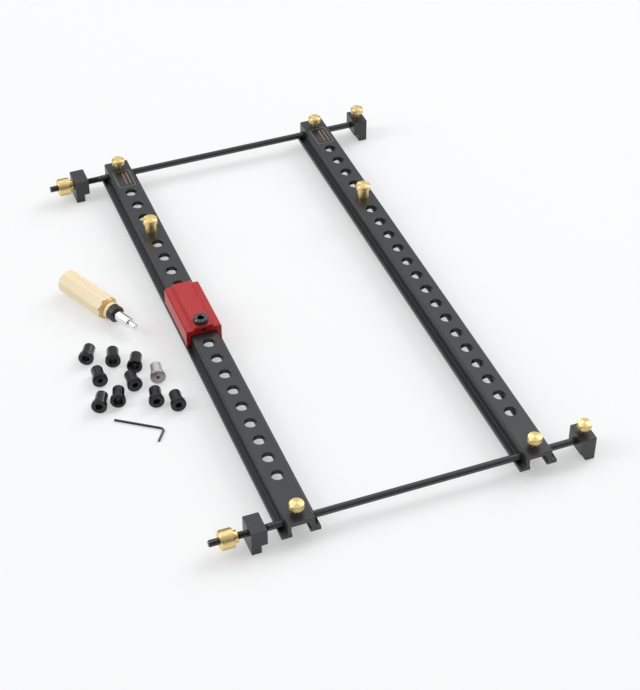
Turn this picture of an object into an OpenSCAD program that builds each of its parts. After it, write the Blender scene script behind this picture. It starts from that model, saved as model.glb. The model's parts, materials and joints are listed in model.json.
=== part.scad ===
// Shelf pin drilling jig: two indexed rails on two cross rods, four edge fences,
// a drill carriage, and the loose bushings and small tools that belong to it.
// The origin is on the axis of the left rail's front index hole, level with the rail's top.
// X runs along the rods, Y along the rails towards the back, and Z up.

/* [Rails] */
// Length of each rail
rail_len = 609.6; // [560:0.1:760]
// Distance between the two lines of index holes
rail_spacing = 242; // [150:0.5:320]
// Width of the rail's flat top
rail_top_w = 27; // [24:0.1:34]
// Height of the rail from its feet to its top
rail_h = 18; // [17:0.1:24]
// Thickness of the rail's top
rail_top_t = 5; // [3:0.1:5.4]
// Thickness of the rail's two legs
rail_leg_t = 3.8; // [2:0.1:4.2]
// Width across the rail's feet
rail_foot_w = 39; // [36:0.1:48]
// Thickness of the rail's feet
rail_foot_t = 4; // [2:0.1:4.2]
// How far each foot reaches inside its leg
rail_lip = 0.8; // [0.2:0.1:1.5]
// Radius along the rail's top edges
rail_edge_r = 0.8; // [0.2:0.1:2]
// Radius of the hollow between leg and foot
rail_fillet_r = 1.2; // [0.2:0.1:1.2]

/* [Index holes] */
// Distance from one index hole to the next
hole_pitch = 25.4; // [20:0.1:27]
// Number of index holes in each rail
hole_count = 20; // [14:1:20]
// Diameter of an index hole
hole_d = 12.7; // [11:0.1:14]

/* [Cross rods] */
// Diameter of the cross rods
rod_d = 7.3; // [6:0.1:7.6]
// Distance from a rail's end to the rod's axis
rod_inset = 12.5; // [10:0.1:18]
// Depth of the rod's axis below the rail's top
rod_drop = 9.8; // [9.6:0.1:10]
// Length of the front rod's thread that shows past its clamp nut
front_rod_tail = 10.5; // [9:0.1:20]
// Length of the back rod's thread that shows past its clamp nut
back_rod_tail = 9.2; // [9:0.1:20]
// How far the rods' other ends stay inside the right fences
rod_end_inset = 3; // [0:0.1:4]
// Chamfer at the rods' ends
rod_chamfer = 1; // [0.2:0.1:2]

/* [Fences] */
// Width of a fence along the rods
fence_w = 15.9; // [14:0.1:18]
// Depth of a fence along the rails
fence_depth = 25.4; // [20:0.1:32]
// Width of the tongue that hooks over the panel's edge
tongue_w = 9.8; // [6:0.1:12]
// Length of the tongue below the panel's face
tongue_h = 9.2; // [5:0.1:16]
// Distance from the left hole line to the middle of the front left fence
front_left_fence_at = 40.7; // [38:0.1:44]
// Distance from the left hole line to the middle of the back left fence
back_left_fence_at = 47; // [45:0.1:48]
// Distance from the right hole line to the middle of the front right fence
front_right_fence_at = 53; // [48:0.1:54]
// Distance from the right hole line to the middle of the back right fence
back_right_fence_at = 54.2; // [48:0.1:56]

/* [Clamp nuts] */
// Diameter of the knurled part of a clamp nut
nut_d = 19.5; // [16:0.1:24]
// Length of the knurled part
nut_len = 13.4; // [10:0.1:18]
// Diameter of the plain collar that bears on the fence
nut_collar_d = 12.5; // [10:0.1:15]
// Length of the plain collar
nut_collar_len = 4; // [2:0.1:5]
// Chamfer on the knurled part's two edges
nut_chamfer = 0.8; // [0.2:0.1:2]
// Space between the front nut's collar and its fence
front_nut_gap = 9.4; // [0.3:0.1:12]
// Space between the back nut's collar and its fence
back_nut_gap = 0.3; // [0.2:0.1:4]

/* [Thumbscrews] */
// Diameter of a thumbscrew's head
screw_head_d = 14.3; // [10:0.1:18]
// Thickness of a thumbscrew's head
screw_head_t = 5.8; // [3:0.1:8]
// Height of the head's top above the rail
screw_head_top = 11.9; // [9:0.1:16]
// Diameter of a thumbscrew's shank
screw_d = 4.8; // [4:0.1:6]
// Chamfer on the head's edges
screw_chamfer = 0.6; // [0.2:0.1:1]

/* [Index pins] */
// Diameter of an index pin's head
pin_head_d = 15.9; // [14.5:0.1:20]
// Thickness of an index pin's head
pin_head_t = 5.8; // [3:0.1:8]
// Height of the head's underside above the rail
pin_stand = 10.3; // [4:0.1:20]
// Diameter of the pin's narrow tip
pin_tip_d = 6.35; // [4:0.05:9]
// Chamfer on the head's edges and on the tip
pin_chamfer = 0.8; // [0.2:0.1:1]
// Hole that holds the left index pin, counted from the back
left_pin_hole = 4; // [1:1:6]
// Hole that holds the right index pin, counted from the back
right_pin_hole = 5; // [1:1:14]

/* [Drill carriage] */
// Width of the carriage
carriage_w = 38.1; // [36:0.1:50]
// Length of the carriage along the rail
carriage_len = 76.2; // [50:0.1:95]
// Thickness of its two shoulders above the rail
shoulder_t = 6.35; // [4:0.05:8]
// Thickness of its raised middle pad above the rail
pad_t = 9.5; // [8.5:0.1:12]
// Width of the raised pad's top
pad_w = 18.6; // [16.5:0.1:22]
// Sideways run of the sloping step from shoulder to pad
pad_slope = 2; // [0.2:0.1:3]
// How far its legs reach down beside the rail
carriage_leg = 12.7; // [6:0.1:12.7]
// Radius along its outer top edges
carriage_edge_r = 2.5; // [0.5:0.1:3]
// Distance from its front end to the bushing's axis
bushing_setback = 9.5; // [9:0.1:14]
// Hole under the carriage's bushing, counted from the back
carriage_hole = 11; // [11:1:13]

/* [Drill bushings] */
// Diameter of a bushing's flange
flange_d = 15.9; // [15:0.1:20]
// Thickness of a bushing's flange
flange_t = 4.7; // [2:0.1:8]
// Length of a bushing's barrel below the flange
barrel_len = 15.9; // [12:0.1:20]
// Bore of the bushing fitted in the carriage
fitted_bore_d = 6.35; // [3:0.05:8]
// Bore of the bright steel punch guide
punch_bore_d = 2.4; // [1.5:0.1:6]
// Bore of the smallest loose bushing
smallest_bore_d = 4; // [2:0.1:4.5]
// Step in bore from one loose bushing to the next
bore_step = 0.6; // [0.1:0.05:0.65]
// Lead-in chamfer at the bore's mouth, and chamfer on the flange's edge
bushing_chamfer = 0.8; // [0.2:0.1:1]

/* [Set screw and hex key] */
// Diameter of the carriage's set screw
set_screw_d = 4.8; // [3:0.1:6]
// Depth of the set screw's hex socket
socket_depth = 1.8; // [1:0.1:2]
// Size of the hex key across its flats
key_size = 2.4; // [1.5:0.1:2.6]
// Length of the key's long arm
key_long = 52; // [30:0.5:70]
// Length of the key's short arm
key_short = 18; // [10:0.5:25]
// Radius of the key's bend at its middle line
key_bend_r = 4; // [3:0.1:6]

/* [Setting tool] */
// Size of the wooden handle across its flats
handle_w = 24.6; // [22:0.1:32]
// Length of the handle's straight part
handle_len = 65.5; // [45:0.5:80]
// Length of the cone that cuts back the corners of the handle's front end
nose_cone_len = 4; // [2:0.1:8]
// Diameter of the cone's small end
nose_cone_d = 21.8; // [20:0.1:21.9]
// Length of the handle's nose from the cone to the collar
nose_neck_len = 5.4; // [2:0.1:8]
// Diameter of the nose's round neck
nose_neck_d = 18.6; // [18.2:0.1:19.2]
// Chamfer round the handle's butt
butt_chamfer = 1.2; // [0.2:0.1:3]
// Diameter of the black collar
tool_collar_d = 18; // [14:0.1:18.1]
// Length of the black collar
tool_collar_len = 8.1; // [5:0.1:15]
// Diameter of the steel shank
shank_d = 11.3; // [8:0.1:12]
// Length of the steel shank in front of the collar
shank_len = 19.7; // [8:0.1:25]
// Diameter of the shank's stepped tip
tool_tip_d = 6.4; // [3:0.1:7.5]
// Length of the stepped tip
tool_tip_len = 9.8; // [5:0.1:20]
// Chamfer round the end of the stepped tip
tool_tip_chamfer = 0.6; // [0.2:0.1:1]
// Depth of the shank's tang inside the handle
tang_len = 30; // [10:0.5:40]

/* [Fits] */
// Space all round a rod, pin, barrel or screw in its hole
running_gap = 0.05; // [0.02:0.01:0.1]
// Space on each side between the carriage's legs and the rail
carriage_gap = 0.3; // [0.1:0.05:0.6]
// Space between a screw's tip and what it bears on
tip_gap = 0.2; // [0.1:0.05:0.3]

/* [Hidden] */
$fn = 48;
overcut = 1;
ground_z = -rail_h - tongue_h;
hole_line = (hole_count - 1) * hole_pitch;
rail_end = (rail_len - hole_line) / 2;
front_rod_y = rod_inset - rail_end;
back_rod_y = hole_line + rail_end - rod_inset;
nut_reach = fence_w / 2 + nut_collar_len + nut_len;
front_rod_out = front_left_fence_at + nut_reach + front_nut_gap + front_rod_tail;
back_rod_out = back_left_fence_at + nut_reach + back_nut_gap + back_rod_tail;
rod_len = rail_spacing + fence_w / 2 - rod_end_inset
    + max(front_rod_out + front_right_fence_at, back_rod_out + back_right_fence_at);
rail_inside_w = rail_top_w - 2 * rail_leg_t;
screw_tip_z = rod_d / 2 - rod_drop + tip_gap;
pin_d = hole_d - 2 * running_gap;
barrel_d = hole_d - 2 * running_gap;
bushing_len = flange_t + barrel_len;
carriage_y = hole_from_back(carriage_hole);
carriage_front = carriage_y - bushing_setback;
set_screw_len = bushing_setback - barrel_d / 2 - running_gap - tip_gap;
set_screw_z = pad_t / 2;
collar_at = handle_len + nose_cone_len + nose_neck_len;
lying_tilt = atan((flange_d - barrel_d) / 2 / barrel_len);
lying_height = flange_t * sin(lying_tilt) + flange_d / 2 * cos(lying_tilt);
octagon = 8;
hexagon = 6;

// Places on the ground of the loose bushings' flange faces: x, y and the barrel's heading from +Y
loose_places = [
    [-120, 245, 26], [-95, 231, 14], [-77, 215, 21], [-115, 207, 4], [-84, 188, 0],
    [-127, 170, 24], [-107, 171, 17], [-71, 157, 11], [-52, 144, 5]
];
punch_guide_place = [-59, 191, 10];
// Order of the loose bushings' bores, from 0 for the smallest
loose_sizes = [5, 6, 7, 0, 1, 4, 8, 3, 2];
loose_count = len(loose_places);
// Place and heading of the setting tool's butt, and of the hex key's bend
tool_place = [-105.2, 372.3];
tool_heading = 155.5;
key_place = [-79.1, 123.7];
key_heading = 35;

loose_names = [for (i = [1 : loose_count]) str("loose_bushing_", i)];

black_metal = "#2b2b2d";
black_oxide = "#1c1c1e";
brass = "#d8b465";
red_anodised = "#b03a3c";
bright_steel = "#b9b9b6";
pale_wood = "#ecd9a8";

function hole_from_back(number) = hole_line - (number - 1) * hole_pitch;
function loose_bore(i) = smallest_bore_d + loose_sizes[i] * bore_step;
function across_corners(flats, sides) = flats / cos(180 / sides);

// Shared shapes

// Box of a given width between two heights, with its two top corners rounded
module round_top(w, bottom, top, r) {
    translate([-w / 2, bottom]) square([w, top - bottom - r]);
    translate([-w / 2 + r, bottom]) square([w - 2 * r, top - bottom]);
    for (side = [-1, 1])
        translate([side * (w / 2 - r), top - r]) circle(r);
}

// Extrude an outline drawn in X and Z along Y, from one end to the other
module along_y(from, length) {
    translate([0, from + length, 0]) rotate([90, 0, 0]) linear_extrude(length) children();
}

// Turn an outline of radius and length about the X axis, starting at a given X
module turned_along_x(x, y, outline) {
    translate([x, y, -rod_drop]) rotate([0, 90, 0]) rotate_extrude() polygon(outline);
}

module cross_bore(y, d) {
    translate([-rail_foot_w / 2 - overcut, y, -rod_drop]) rotate([0, 90, 0])
        cylinder(d = d, h = rail_foot_w + 2 * overcut);
}

module screw_hole(x, y) {
    translate([x, y, -rod_drop]) cylinder(d = screw_d + 2 * running_gap, h = rod_drop + overcut);
}

// Rails

module rail_outline() {
    leg_outside = rail_top_w / 2;
    foot_top = rail_foot_t - rail_h;
    difference() {
        union() {
            round_top(rail_top_w, -rail_h, 0, rail_edge_r);
            translate([-rail_foot_w / 2, -rail_h]) square([rail_foot_w, rail_foot_t]);
            for (side = [0, 1]) mirror([side, 0])
                translate([leg_outside, foot_top]) difference() {
                    square(rail_fillet_r);
                    translate([rail_fillet_r, rail_fillet_r]) circle(rail_fillet_r);
                }
        }
        translate([-rail_inside_w / 2, foot_top]) square([rail_inside_w, -rail_top_t - foot_top]);
        translate([-rail_inside_w / 2 + rail_lip, -rail_h - overcut])
            square([rail_inside_w - 2 * rail_lip, rail_foot_t + 2 * overcut]);
    }
}

module rail(x) {
    color(black_metal) translate([x, 0, 0]) difference() {
        along_y(-rail_end, rail_len) rail_outline();
        for (i = [1 : hole_count])
            translate([0, hole_from_back(i), -rail_top_t - overcut])
                cylinder(d = hole_d, h = rail_top_t + 2 * overcut);
        for (y = [front_rod_y, back_rod_y]) {
            cross_bore(y, rod_d + 2 * running_gap);
            screw_hole(0, y);
        }
    }
}

module left_rail() { rail(0); }
module right_rail() { rail(rail_spacing); }

// Cross rods

module rod(out, y) {
    r = rod_d / 2;
    color(black_oxide) turned_along_x(-out, y, [
        [0, 0], [r - rod_chamfer, 0], [r, rod_chamfer],
        [r, rod_len - rod_chamfer], [r - rod_chamfer, rod_len], [0, rod_len]
    ]);
}

module front_rod() { rod(front_rod_out, front_rod_y); }
module back_rod() { rod(back_rod_out, back_rod_y); }

// Fences, whose tongues hang on the side away from the rails

module fence(x, y, tongue_side) {
    tongue_x = tongue_side * (fence_w - tongue_w) / 2;
    color(black_metal) translate([x, y, 0]) difference() {
        along_y(-fence_depth / 2, fence_depth) union() {
            translate([-fence_w / 2, -rail_h]) square([fence_w, rail_h]);
            translate([tongue_x - tongue_w / 2, ground_z]) square([tongue_w, -ground_z]);
        }
        cross_bore(0, rod_d + 2 * running_gap);
        if (tongue_side > 0) screw_hole(0, 0);
    }
}

module front_left_fence() { fence(-front_left_fence_at, front_rod_y, -1); }
module back_left_fence() { fence(-back_left_fence_at, back_rod_y, -1); }
module front_right_fence() { fence(rail_spacing + front_right_fence_at, front_rod_y, 1); }
module back_right_fence() { fence(rail_spacing + back_right_fence_at, back_rod_y, 1); }

// Clamp nuts on the rods' threaded ends, collars towards the fences

module clamp_nut(fence_at, gap, y) {
    bore_r = rod_d / 2 + running_gap;
    r = nut_d / 2;
    collar_r = nut_collar_d / 2;
    length = nut_len + nut_collar_len;
    color(brass) turned_along_x(-fence_at - fence_w / 2 - gap - length, y, [
        [bore_r, 0], [r - nut_chamfer, 0], [r, nut_chamfer],
        [r, nut_len - nut_chamfer], [r - nut_chamfer, nut_len],
        [collar_r, nut_len], [collar_r, length], [bore_r, length]
    ]);
}

module front_clamp_nut() { clamp_nut(front_left_fence_at, front_nut_gap, front_rod_y); }
module back_clamp_nut() { clamp_nut(back_left_fence_at, back_nut_gap, back_rod_y); }

// Thumbscrews, each bearing on the rod below it

module thumbscrew(x, y) {
    head_r = screw_head_d / 2;
    shank_r = screw_d / 2;
    head_bottom = screw_head_top - screw_head_t;
    color(brass) translate([x, y, 0]) rotate_extrude() polygon([
        [0, screw_tip_z], [shank_r, screw_tip_z], [shank_r, head_bottom],
        [head_r - screw_chamfer, head_bottom], [head_r, head_bottom + screw_chamfer],
        [head_r, screw_head_top - screw_chamfer], [head_r - screw_chamfer, screw_head_top],
        [0, screw_head_top]
    ]);
}

module front_left_rail_screw() { thumbscrew(0, front_rod_y); }
module back_left_rail_screw() { thumbscrew(0, back_rod_y); }
module front_right_rail_screw() { thumbscrew(rail_spacing, front_rod_y); }
module back_right_rail_screw() { thumbscrew(rail_spacing, back_rod_y); }
module front_right_fence_screw() { thumbscrew(rail_spacing + front_right_fence_at, front_rod_y); }
module back_right_fence_screw() { thumbscrew(rail_spacing + back_right_fence_at, back_rod_y); }

// Index pins: a body that fits the rail's holes, and a tip that enters a drilled hole

module index_pin(x, number) {
    head_r = pin_head_d / 2;
    tip_r = pin_tip_d / 2;
    body_r = pin_d / 2;
    head_top = pin_stand + pin_head_t;
    color(brass) translate([x, hole_from_back(number), 0]) rotate_extrude() polygon([
        [0, ground_z], [tip_r - pin_chamfer, ground_z], [tip_r, ground_z + pin_chamfer],
        [tip_r, -rail_h], [body_r, -rail_h], [body_r, pin_stand],
        [head_r - pin_chamfer, pin_stand], [head_r, pin_stand + pin_chamfer],
        [head_r, head_top - pin_chamfer], [head_r - pin_chamfer, head_top], [0, head_top]
    ]);
}

module left_index_pin() { index_pin(0, left_pin_hole); }
module right_index_pin() { index_pin(rail_spacing, right_pin_hole); }

// Drill carriage, which straddles the left rail

module carriage_outline() {
    inside_w = rail_top_w + 2 * carriage_gap;
    foot_x = pad_w / 2 + pad_slope;
    difference() {
        union() {
            round_top(carriage_w, -carriage_leg, shoulder_t, carriage_edge_r);
            polygon([[-foot_x, 0], [foot_x, 0], [foot_x, shoulder_t], [pad_w / 2, pad_t],
                [-pad_w / 2, pad_t], [-foot_x, shoulder_t]]);
        }
        translate([-inside_w / 2, -carriage_leg - overcut])
            square([inside_w, carriage_leg + overcut]);
    }
}

module drill_carriage() {
    color(red_anodised) difference() {
        along_y(carriage_front, carriage_len) carriage_outline();
        translate([0, carriage_y, -overcut])
            cylinder(d = barrel_d + 2 * running_gap, h = pad_t + 2 * overcut);
        translate([0, carriage_y, set_screw_z]) rotate([90, 0, 0])
            cylinder(d = set_screw_d + 2 * running_gap, h = bushing_setback + overcut);
    }
}

// Set screw in the carriage's front end, with a hex socket facing out
module carriage_set_screw() {
    color(black_oxide) translate([0, carriage_front, set_screw_z]) rotate([-90, 0, 0])
        difference() {
            cylinder(d = set_screw_d, h = set_screw_len);
            translate([0, 0, -overcut])
                cylinder(d = across_corners(key_size + 2 * running_gap, hexagon),
                    h = socket_depth + overcut, $fn = hexagon);
        }
}

// Flanged drill bushing with its flange's face at the origin, looking up
module bushing(bore_d) {
    bore_r = bore_d / 2;
    flange_r = flange_d / 2;
    barrel_r = barrel_d / 2;
    rotate_extrude() polygon([
        [bore_r, -bushing_len], [barrel_r, -bushing_len], [barrel_r, -flange_t],
        [flange_r, -flange_t], [flange_r, -bushing_chamfer], [flange_r - bushing_chamfer, 0],
        [bore_r + bushing_chamfer, 0], [bore_r, -bushing_chamfer]
    ]);
}

module fitted_bushing() {
    color(black_oxide) translate([0, carriage_y, pad_t + flange_t]) bushing(fitted_bore_d);
}

// Bushing lying on the ground on the edges of its flange and its barrel
module lying_bushing(place, bore_d) {
    translate([place[0], place[1], ground_z + lying_height])
        rotate([90 - lying_tilt, 0, -place[2]]) bushing(bore_d);
}

module loose_bushing(i) {
    color(black_oxide) lying_bushing(loose_places[i], loose_bore(i));
}

module punch_guide() {
    color(bright_steel) lying_bushing(punch_guide_place, punch_bore_d);
}

// Setting tool, lying on a flat of its handle, with its butt at the origin and its tip along X

module place_tool() {
    translate([tool_place[0], tool_place[1], ground_z + handle_w / 2])
        rotate([0, 0, 90 - tool_heading]) rotate([0, 90, 0]) children();
}

// Eight flats, with the butt's edge, the nose's cone and its neck turned round
module tool_handle() {
    corners = across_corners(handle_w, octagon);
    corner_r = corners / 2;
    cone_r = nose_cone_d / 2;
    neck_r = nose_neck_d / 2;
    cone_end = handle_len + nose_cone_len;
    cone_run = nose_cone_len / (corner_r - cone_r);
    color(pale_wood) place_tool() difference() {
        intersection() {
            rotate(180 / octagon) cylinder(d = corners, h = collar_at, $fn = octagon);
            rotate_extrude() polygon([
                [0, 0], [corner_r - butt_chamfer, 0], [corner_r + overcut, butt_chamfer + overcut],
                [corner_r + overcut, handle_len - overcut * cone_run], [cone_r, cone_end],
                [neck_r, cone_end + cone_r - neck_r], [neck_r, collar_at], [0, collar_at]
            ]);
        }
        translate([0, 0, collar_at - tang_len])
            cylinder(d = shank_d + 2 * running_gap, h = tang_len + overcut);
    }
}

module tool_collar() {
    color(black_oxide) place_tool() translate([0, 0, collar_at]) difference() {
        cylinder(d = tool_collar_d, h = tool_collar_len);
        translate([0, 0, -overcut])
            cylinder(d = shank_d + 2 * running_gap, h = tool_collar_len + 2 * overcut);
    }
}

module tool_shank() {
    start = collar_at - tang_len;
    step = collar_at + tool_collar_len + shank_len;
    end = step + tool_tip_len;
    shank_r = shank_d / 2;
    tip_r = tool_tip_d / 2;
    color(bright_steel) place_tool() rotate_extrude() polygon([
        [0, start], [shank_r, start], [shank_r, step], [tip_r, step],
        [tip_r, end - tool_tip_chamfer], [tip_r - tool_tip_chamfer, end], [0, end]
    ]);
}

// Hex key lying on a flat, with the inside of its bend at the origin

module key_section() {
    circle(d = across_corners(key_size, hexagon), $fn = hexagon);
}

module hex_key() {
    color(black_oxide)
        translate([key_place[0], key_place[1], ground_z + key_size / 2])
        rotate([0, 0, -key_heading]) {
            rotate_extrude(angle = 90) translate([key_bend_r, 0]) key_section();
            translate([key_bend_r, 0, 0]) rotate([90, 0, 0])
                linear_extrude(key_short - key_bend_r) key_section();
            translate([0, key_bend_r, 0]) rotate([90, 0, -90])
                linear_extrude(key_long - key_bend_r) key_section();
        }
}

left_rail();
right_rail();
front_rod();
back_rod();
front_left_fence();
back_left_fence();
front_right_fence();
back_right_fence();
front_clamp_nut();
back_clamp_nut();
front_left_rail_screw();
back_left_rail_screw();
front_right_rail_screw();
back_right_rail_screw();
front_right_fence_screw();
back_right_fence_screw();
left_index_pin();
right_index_pin();
drill_carriage();
fitted_bushing();
carriage_set_screw();
punch_guide();
tool_handle();
tool_collar();
tool_shank();
hex_key();
for (i = [0 : loose_count - 1])
    loose_bushing(i);
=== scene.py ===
"""Shelf pin drilling jig: finished pieces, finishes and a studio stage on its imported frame."""

import json
import math

import bmesh
import bpy
from mathutils import Matrix, Vector

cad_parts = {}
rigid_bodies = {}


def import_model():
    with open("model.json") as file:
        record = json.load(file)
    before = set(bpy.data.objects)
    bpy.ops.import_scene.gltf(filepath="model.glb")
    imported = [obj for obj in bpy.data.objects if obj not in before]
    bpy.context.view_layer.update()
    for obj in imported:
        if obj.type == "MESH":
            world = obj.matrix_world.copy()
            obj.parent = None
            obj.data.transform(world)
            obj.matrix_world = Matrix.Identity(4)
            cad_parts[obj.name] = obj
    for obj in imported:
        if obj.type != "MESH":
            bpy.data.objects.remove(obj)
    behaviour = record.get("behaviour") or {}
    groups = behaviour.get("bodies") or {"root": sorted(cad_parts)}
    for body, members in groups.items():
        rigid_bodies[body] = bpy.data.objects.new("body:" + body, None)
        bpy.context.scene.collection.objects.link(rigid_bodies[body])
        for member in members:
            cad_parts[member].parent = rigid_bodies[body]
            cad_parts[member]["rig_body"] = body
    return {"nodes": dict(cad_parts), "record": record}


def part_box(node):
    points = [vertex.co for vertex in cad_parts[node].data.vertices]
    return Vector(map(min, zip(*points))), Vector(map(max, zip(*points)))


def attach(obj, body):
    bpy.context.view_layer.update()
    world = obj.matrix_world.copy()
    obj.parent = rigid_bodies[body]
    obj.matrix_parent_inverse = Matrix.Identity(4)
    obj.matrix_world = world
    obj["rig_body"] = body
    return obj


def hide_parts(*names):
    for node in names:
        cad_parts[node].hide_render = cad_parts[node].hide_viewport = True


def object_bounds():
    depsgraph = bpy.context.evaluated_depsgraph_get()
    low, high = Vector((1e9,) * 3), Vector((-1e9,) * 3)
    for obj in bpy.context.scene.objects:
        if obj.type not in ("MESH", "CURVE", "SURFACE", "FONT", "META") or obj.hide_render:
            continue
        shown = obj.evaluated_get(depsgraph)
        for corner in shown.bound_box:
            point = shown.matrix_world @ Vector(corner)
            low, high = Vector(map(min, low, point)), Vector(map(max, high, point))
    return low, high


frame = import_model()
CAD_BOX = [list(corner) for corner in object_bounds()]

bl_info = {
    "name": "Shelf pin drilling jig",
    "version": (1, 0, 0),
    "blender": (4, 5, 0),
    "location": "3D View > Sidebar > Drilling jig",
    "description": "Builds the finished pieces of a shelf pin drilling jig on its packed frame",
    "category": "Object",
}

MM = 0.001
HEXAGON = 6
OCTAGON = 8

# A point nearer to the axis than this is on it
ON_AXIS = 1e-7
# Vertices nearer to each other than this are welded after a cut
WELD = 0.002 * MM
# How far a cutter reaches past the face that it cuts
OVERCUT = 1 * MM
# Gap round a piece that fits inside another
RUNNING_GAP = 0.05 * MM
# Radii of crisp and of soft edges
FINE_EDGE = 0.1 * MM
SOFT_EDGE = 0.2 * MM
# Faces that meet at more than this angle are shaded with an edge between them
SHARP_ANGLE = math.radians(35)
HANDLE_SHARP_ANGLE = math.radians(13)
# Holes whose places along the rails agree to this many decimals are in one row
ROW_DECIMALS = 5
# Name of the face attribute that marks turned ends
END_MARK = "end_face"

# How finely round shapes are divided
CORNER_STEPS = 4
CROWN_STEPS = 6
BEND_STEPS = 16
STEPS_PER_RIDGE = 4
STEPS_PER_THREAD = 8
ROD_SEGMENTS = 48
HOLE_SEGMENTS = 64
BUSHING_SEGMENTS = 64
TOOL_SEGMENTS = 96
HANDLE_SEGMENTS = 160

# Tops of the label's marks in plate thicknesses, and the places and corners of those marks
LABEL_LINE_TOP = 1.4
LABEL_MARK_TOP = 1.3
LABEL_RULE_STEPS = (0.1, 1.1)
LABEL_PANEL_STEP = 0.7
LABEL_CORNER = 1 * MM
LABEL_CORNER_SHARE = 0.3

# Spans of the fields that drive a finish: noise, and how squarely a face is cut across
GRAIN_SPAN = (0.3, 0.7)
END_SPAN = (0.1, 0.35)
# How dark the cut-across ends get, as end grain with painted shade on the wood and as painted shade on
# turned steel ends
END_SHARE = 0.8

# Brightness of the studio, by the height of the direction from the horizon at 0 to overhead at 1,
# its share in front of the jig and behind it, and its slightly cool tone
STUDIO_LEVELS = ((0, 0.8), (0.2, 0.5), (0.35, 0.28), (0.55, 0.6), (0.68, 1.85), (0.8, 1.7), (1, 0.5))
STUDIO_DEPTH = (-0.6, 0.5)
STUDIO_SHARES = (0.38, 0.9)
STUDIO_TONE = (0.96, 0.985, 1)

RAILS = ("left_rail", "right_rail")
RODS = ("front_rod", "back_rod")
FENCES = ("front_left_fence", "back_left_fence", "front_right_fence", "back_right_fence")
CLAMP_NUTS = ("front_clamp_nut", "back_clamp_nut")
THUMBSCREWS = (
    "front_left_rail_screw",
    "back_left_rail_screw",
    "front_right_rail_screw",
    "back_right_rail_screw",
    "front_right_fence_screw",
    "back_right_fence_screw",
)
INDEX_PINS = ("left_index_pin", "right_index_pin")
LOOSE_BUSHINGS = tuple(f"loose_bushing_{number}" for number in range(1, 10))
MOUNTS = {mount["name"]: mount for mount in frame["record"]["mounts"]}
GROUND = CAD_BOX[0][2]

# Quarter turns that point a piece's Z to the right, its Z to the front, and its Y upwards
ALONG_X = Matrix.Rotation(math.pi / 2, 4, "Y")
TOWARDS_FRONT = Matrix.Rotation(math.pi / 2, 4, "X")
UPRIGHT = TOWARDS_FRONT
UP = Vector((0, 0, 1))


# Sizes and colours that a user would change


def length(name, description, millimetres):
    """A length property, given in millimetres and kept in metres."""
    return bpy.props.FloatProperty(
        name=name, description=description, default=millimetres * MM, min=0, unit="LENGTH", precision=4
    )


def colour(name, description, *rgb):
    """A colour property in linear light."""
    return bpy.props.FloatVectorProperty(
        name=name, description=description, default=rgb, min=0, max=1, subtype="COLOR"
    )


def angle(name, description, degrees):
    """An angle property, given in degrees."""
    return bpy.props.FloatProperty(
        name=name, description=description, default=math.radians(degrees), subtype="ANGLE"
    )


def place(name, description, *millimetres):
    """A place property, given in millimetres and kept in metres."""
    return bpy.props.FloatVectorProperty(
        name=name,
        description=description,
        default=[value * MM for value in millimetres],
        size=len(millimetres),
        unit="LENGTH",
    )


def share(name, description, part):
    """A share property, from none at 0 to all at 1."""
    return bpy.props.FloatProperty(
        name=name, description=description, default=part, min=0, max=1, subtype="FACTOR"
    )


def group(kind, name, description):
    """A group of settings within the jig's settings."""
    return bpy.props.PointerProperty(type=kind, name=name, description=description)


class RailSizes(bpy.types.PropertyGroup):
    """Section, holes and edges of the two rails."""

    top_width: length("Top width", "Width of a rail's flat top", 27)
    top_thickness: length("Top thickness", "Thickness of a rail's top", 5)
    leg_thickness: length("Leg thickness", "Thickness of a rail's two legs", 3.8)
    foot_thickness: length("Foot thickness", "Thickness of a rail's feet", 4)
    lip: length("Foot lip", "How far each foot reaches inside its leg", 0.8)
    edge: length("Edge radius", "Radius along the rail's top edges", 1)
    fillet: length("Fillet", "Radius of the hollow between leg and foot", 1.2)
    arris: length("Arris", "Small radius on the section's other corners", 0.2)
    end_chamfer: length("End chamfer", "Chamfer round a rail's two ends", 0.15)
    hole_chamfer: length("Hole chamfer", "Chamfer round each hole's mouth", 0.35)


class RodSizes(bpy.types.PropertyGroup):
    """Threads and ends of the two cross rods."""

    thread_length: length("Thread length", "Length of the thread at the left end", 60)
    thread_pitch: length("Thread pitch", "Distance between two turns of the thread", 1.27)
    thread_depth: length("Thread depth", "Depth of the thread", 0.5)
    chamfer: length("End chamfer", "Chamfer at both ends", 1)


class FenceSizes(bpy.types.PropertyGroup):
    """Section and edges of the four edge fences."""

    body_height: length("Body height", "Height of the block above the panel's face", 18)
    tongue_width: length("Tongue width", "Width of the tongue below the block", 9.8)
    arris: length("Arris", "Radius on the block's long corners", 0.4)
    chamfer: length("End chamfer", "Chamfer round the block's two ends", 0.35)


class BrassSizes(bpy.types.PropertyGroup):
    """Shapes shared by the turned and knurled brass pieces."""

    knurl_pitch: length("Knurl pitch", "Distance between two ridges of the knurl", 0.9)
    knurl_depth: length("Knurl depth", "Depth of the knurl's grooves", 0.16)
    chamfer: length("Edge chamfer", "Chamfer beside a knurled band", 0.5)
    crown: length("Crown", "Rise of a head's turned top towards its middle", 0.25)
    collar_length: length("Collar length", "Length of a clamp nut's plain collar", 4)
    collar_diameter: length("Collar diameter", "Diameter of a clamp nut's plain collar", 12.5)
    head_thickness: length("Head thickness", "Thickness of a thumbscrew's or pin's head", 5.8)
    shank_diameter: length("Shank diameter", "Diameter of a thumbscrew's shank", 4.8)
    tip_diameter: length("Tip diameter", "Diameter of an index pin's narrow tip", 6.35)
    tip_length: length("Tip length", "Length of an index pin's narrow tip", 9.2)


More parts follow.
